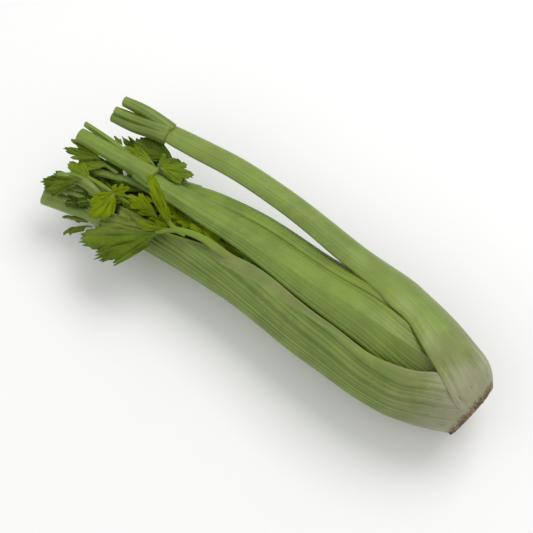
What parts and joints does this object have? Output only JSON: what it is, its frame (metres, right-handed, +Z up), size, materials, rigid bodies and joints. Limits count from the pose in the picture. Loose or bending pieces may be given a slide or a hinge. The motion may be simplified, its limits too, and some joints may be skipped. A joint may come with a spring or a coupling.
{
  "type": "head of celery",
  "caption": "Trimmed head of celery lying on its side: ribbed green stalks on a pale butt, one stalk splayed away, cut tops and a few leaves.",
  "frame": {"origin": "centre of the head's bounding box in X and Y, on the surface that it lies on", "axes": "+X towards the cut butt, -X towards the cut tops, +Z up"},
  "size_m": [0.3512, 0.1194, 0.0866],
  "materials": {
    "crown_cut": "matte",
    "stalk_outer": "satin",
    "stalk_inner": "satin",
    "stalk_heart": "satin",
    "leaf_green": "satin",
    "leaf_young": "satin"
  },
  "bodies": {
    "root": {"crown": "crown_cut", "outer_stalk_right": "stalk_outer", "outer_stalk_left": "stalk_outer", "outer_stalk_under": "stalk_outer", "outer_stalk_back": "stalk_outer", "inner_stalk_middle": "stalk_inner", "inner_stalk_behind": "stalk_inner", "inner_stalk_back": "stalk_inner", "inner_stalk_low": "stalk_inner", "heart_stalk_front": "stalk_heart", "heart_stalk_top": "stalk_heart", "heart_stalk_behind": "stalk_heart", "heart_stalk_back": "stalk_heart", "heart_stalk_low": "stalk_heart", "leaf_large": "leaf_green", "leaf_upright": "leaf_young", "leaf_side": "leaf_young", "leaf_bright": "leaf_young", "leaf_tuft": "leaf_young", "leaf_tip_upper": "leaf_green", "leaf_tip_lower": "leaf_green", "leaf_dark_inside": "leaf_young", "leaf_behind_dark": "leaf_green", "leaf_behind_light": "leaf_green", "leaf_behind_small": "leaf_young", "leaf_heart_near": "leaf_young", "leaf_heart_far": "leaf_young", "leaf_under_tip": "leaf_green", "leaf_back": "leaf_green", "leaf_back_low": "leaf_green"}
  },
  "joints": []
}
